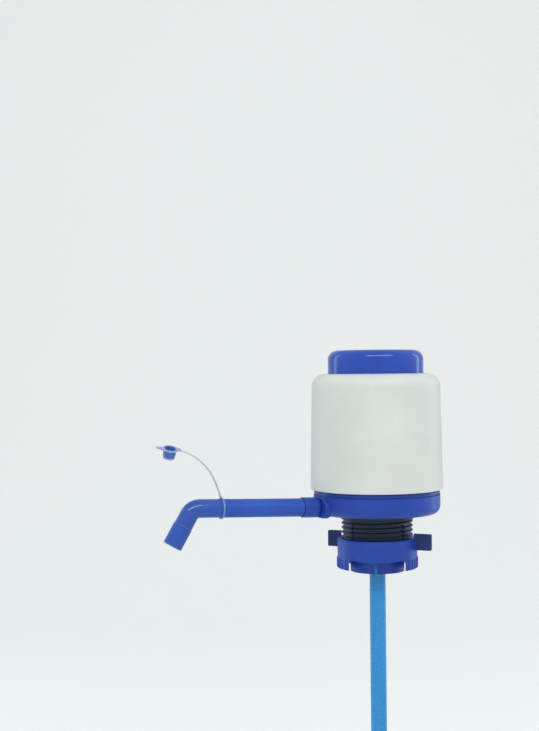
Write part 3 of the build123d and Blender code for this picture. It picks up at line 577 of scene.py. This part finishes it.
# %% The ring on the spout
RING_PLACE = 95.9               # from the outlet along the spout, in millimetres
RING_INNER = 8.08
RING_OUTER = 9.83
RING_WIDTH = 1.8
RING_ROUND = 0.45


def make_ring():
    """Hoop round the spout's centre line."""
    low, high = -RING_WIDTH / 2, RING_WIDTH / 2
    middle = (RING_INNER + RING_OUTER) / 2
    outline = rounded([(middle, low), (RING_OUTER, low), (RING_OUTER, high), (RING_INNER, high),
                       (RING_INNER, low), (middle, low)], RING_ROUND)[:-1]
    along = spout_frame @ Matrix.Translation((-RING_PLACE * MM, 0, 0)) @ Matrix.Rotation(math.pi / 2, 4, "Y")
    return skin("plug_ring", lathe(outline), along)


plug_ring = make_ring()
print("ring faces", len(plug_ring.data.polygons))

# %% [markdown]
# The strap leaves the ring upwards and arches over to the plug. Its route is a short list of
# points; a smooth curve through them is read off at even steps, and a thin rounded section is
# carried along it, wider where the strap grows out of the ring.

# %% The strap
STRAP_ROUTE = [(0.4, 9.2), (3.4, 16.6), (6.8, 24.6), (11.4, 32.4), (17.1, 38.8),
               (23.6, 44.3), (30.1, 48.3), (36.4, 50.8), (40.9, 51.8)]
STRAP_WIDTH = 3.2
STRAP_THICKNESS = 1.0
STRAP_FOOT = 5.0
STRAP_STEPS = 12
STRAP_ROUND = 0.42


def curve_through(points, steps):
    """Even, smooth points through all the given ones."""
    ends = [2 * points[0] - points[1], *points, 2 * points[-1] - points[-2]]
    smooth = []
    for a, b, c, d in zip(ends, ends[1:], ends[2:], ends[3:]):
        for step in range(steps):
            t = step / steps
            smooth.append(0.5 * (2 * b + (c - a) * t + (2 * a - 5 * b + 4 * c - d) * t * t
                                 + (3 * b - a - 3 * c + d) * t ** 3))
    return smooth + [points[-1]]


def make_strap():
    """Ribbon along the route, in the spout's frame."""
    route = [Vector((-RING_PLACE - far, 0, high)) for far, high in STRAP_ROUTE]
    route = curve_through(route, STRAP_STEPS)
    half = STRAP_THICKNESS / 2
    across = Vector((0, 1, 0))
    rows = []
    for i, place in enumerate(route):
        ahead = (route[min(i + 1, len(route) - 1)] - route[max(i - 1, 0)]).normalized()
        up = ahead.cross(across).normalized()
        flare = max(0.0, 1 - i / STRAP_STEPS)
        wide = (STRAP_WIDTH + (STRAP_FOOT - STRAP_WIDTH) * flare ** 2) / 2
        corners = [(0, -half), (wide, -half), (wide, half), (-wide, half), (-wide, -half), (0, -half)]
        section = rounded(corners, STRAP_ROUND, steps=3)[:-1]
        rows.append([place + across * x + up * y for x, y in section])
    return skin("plug_strap", rows, spout_frame, closed_rows=False, caps=True)


plug_strap = make_strap()
print("strap faces", len(plug_strap.data.polygons))

# %% [markdown]
# The plug is a tapered cup, hollow so that it can give when it is pushed into the nozzle. Seen from
# above, its flange is a circle joined by two tapered tabs, so the rim's distance from the axis is
# worked out for each angle, and everything inside the rim stays round. The strap's pull bends the
# tabs out of the flange's plane: the farther the rim reaches, the more it is lifted or lowered.
# Thin edges of clear plastic gather light and look paler, and the finish paints that light on them as
# a highlight. A smooth skin has no sharp edge for the finish to find, so the faces round the flange
# and the cup's foot are marked for the painted highlight here.

# %% The plug
PLUG_PLACE = (49.9, 53.2)       # beyond the ring, above the spout's axis
PLUG_TILT = math.radians(23.0)
PLUG_PITCH = math.radians(1.0)
TAB_LEAN = 0.22                 # rise of the tabs for each millimetre beyond the round flange
FLANGE = 7.0
FLANGE_THICKNESS = 1.3
CUP_ROOT = 6.0
CUP_TIP = 5.35
CUP_DEPTH = 8.2
CUP_WALL = 1.2
TAB_HALF = 5.5
TAB_REACH, TAB_TIP = 13.2, 0.8
GUSSET_REACH, GUSSET_TIP = 10.4, 1.6
PLUG_ROUND = 0.5
PLUG_SIDES = 240
# The foot band and the flange's faces get the painted highlight.
FOOT = 1.9                      # height of the paler band over the cup's solid end
HIGHLIGHT_BANDS = (*range(10, 21), *range(28, 36))  # steps of the profile round the flange and the foot


def tab_rim(turn, reach, tip):
    """How far a tapered tab along the zero angle reaches at another angle."""
    along, aside = math.cos(turn), abs(math.sin(turn))
    if along <= 0:
        return 0.0
    slope = (TAB_HALF - tip) / reach
    return min(TAB_HALF / (aside + slope * along), reach / along)


def rim(turn):
    """The flange's edge at an angle: a circle, a finger tab towards -X, a gusset towards +X."""
    return max(FLANGE, tab_rim(turn - math.pi, TAB_REACH, TAB_TIP), tab_rim(turn, GUSSET_REACH, GUSSET_TIP))


def make_plug():
    """Cup and flange in one closed skin."""
    rows = []
    inner_root, inner_tip = CUP_ROOT - CUP_WALL, CUP_TIP - CUP_WALL
    foot_radius = CUP_TIP + (CUP_ROOT - CUP_TIP) * FOOT / CUP_DEPTH
    for i in range(PLUG_SIDES):
        turn = 2 * math.pi * i / PLUG_SIDES
        edge = rim(turn)
        lift = -TAB_LEAN * math.cos(turn) * (edge - FLANGE)
        profile = rounded([
            (0, CUP_WALL - CUP_DEPTH), (inner_tip, CUP_WALL - CUP_DEPTH), (inner_root, FLANGE_THICKNESS),
            (edge, FLANGE_THICKNESS + lift), (edge, lift), (CUP_ROOT, 0), (foot_radius, FOOT - CUP_DEPTH),
            (CUP_TIP, -CUP_DEPTH), (0, -CUP_DEPTH)], PLUG_ROUND)
        rows.append(at_turn(profile, turn))
    columns = [list(column) for column in zip(*rows)]
    place = (spout_frame @ Matrix.Translation(Vector((-RING_PLACE - PLUG_PLACE[0], 0,
                                                      PLUG_PLACE[1] - FLANGE_THICKNESS / 2)) * MM)
             @ Matrix.Rotation(PLUG_PITCH, 4, "Y") @ Matrix.Rotation(PLUG_TILT, 4, "X"))
    plug = skin("plug_cup", columns, place, closed_rows=False)
    # Faces that get the painted highlight.
    marks = plug.data.attributes.new("rim", "FLOAT", "FACE")
    for face in plug.data.polygons:
        marks.data[face.index].value = float(face.index // PLUG_SIDES in HIGHLIGHT_BANDS)
    return plug


plug_cup = make_plug()
for piece in (plug_ring, plug_strap, plug_cup):
    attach(piece, "plug")
    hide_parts("tethered_plug")
print("plug faces", len(plug_cup.data.polygons))

# %% [markdown]
# The bellows are blown from one soft tube of plastic, with eight folds and a flange at each end, and
# they flatten as the cap goes down. They are turned from one closed profile with rounded folds.

# %% The bellows
BELLOWS_ROOT, BELLOWS_CREST = 33.5, 41.5
BELLOWS_FOOT, BELLOWS_CROWN = 46.5, 39.7    # radii of the two flanges
BELLOWS_FLANGE = 1.5
BELLOWS_WALL = 1.1
BELLOWS_FOLDS = 8
BELLOWS_ROUND = 0.5


def make_bellows():
    """Folded tube between its two flanges."""
    low, high = (corner.z / MM for corner in map(Vector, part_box("bellows")))
    foot, crown = low + BELLOWS_FLANGE, high - BELLOWS_FLANGE
    step = (crown - foot) / BELLOWS_FOLDS
    folds = []
    for fold in range(BELLOWS_FOLDS):
        folds += [(BELLOWS_ROOT, foot + fold * step), (BELLOWS_CREST, foot + (fold + 0.5) * step)]
    inside = BELLOWS_ROOT - BELLOWS_WALL
    middle = (inside + BELLOWS_FOOT) / 2
    outline = [(middle, low), (BELLOWS_FOOT, low), (BELLOWS_FOOT, foot), *folds, (BELLOWS_ROOT, crown),
               (BELLOWS_CROWN, crown), (BELLOWS_CROWN, high), (inside, high), (inside, crown)]
    outline += [(radius - BELLOWS_WALL, height) for radius, height in reversed(folds)]
    outline += [(inside, low), (middle, low)]
    piece = skin("soft_bellows", lathe(rounded(outline, BELLOWS_ROUND, steps=3)[:-1]), Matrix.Identity(4))
    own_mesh(piece)
    return piece


soft_bellows = make_bellows()
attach(soft_bellows, "base")
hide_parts("bellows")
print("bellows faces", len(soft_bellows.data.polygons))

# %% [markdown]
# ## Giving each piece its finish
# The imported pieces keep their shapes; only the finish in their slot changes. A plain table from
# finish to pieces is easier to read and to change than a line for each piece.

# %% Give each piece its finish
FINISHES = [
    (blue_cap, ["push_cap"]),
    (blue_drum, ["base_drum", "spout_collar", "grip_ring"]),
    (blue_nut, ["clamp_nut"]),
    (blue_spout, ["spout_tube"]),
    (blue_elbow, ["spout_elbow"]),
    (blue_sleeve, ["nozzle_sleeve"]),
    (white_cover, ["cover"]),
    (dark_neck, ["threaded_neck"]),
    (white_inner, ["bellows_head", "intake_valve_pin", "bellows_clamp_ring", "deck_plate", "check_valve_pin",
                   "water_elbow", "dip_tube_socket"]),
    (natural_bellows, ["bellows"]),
    (tube_blue, ["dip_tube_upper", "dip_tube_coupler", "dip_tube_lower"]),
    (black_rubber, ["intake_valve_disc", "check_valve_disc", "dip_tube_seal", "neck_gasket", "spout_o_ring"]),
    (steel, [f"{place}_screw_{i}" for place in ("deck", "neck") for i in range(1, 5)]),
    (plug_blue, ["tethered_plug"]),
]
SOFT_FINISHES = [(strap_clear, (plug_strap,)), (ring_clear, (plug_ring,)), (plug_blue, (plug_cup,)),
                 (natural_bellows, (soft_bellows,))]


def finish_piece(piece, recipe):
    """Put one finish on all of a piece."""
    piece.data.materials.clear()
    piece.data.materials.append(recipe.material)


for recipe, names in FINISHES:
    for name in names:
        finish_piece(nodes[name], recipe)
for recipe, pieces in SOFT_FINISHES:
    for piece in pieces:
        finish_piece(piece, recipe)
left_plain = set(nodes) - {name for _, names in FINISHES for name in names}
print("pieces without a finish:", sorted(left_plain))
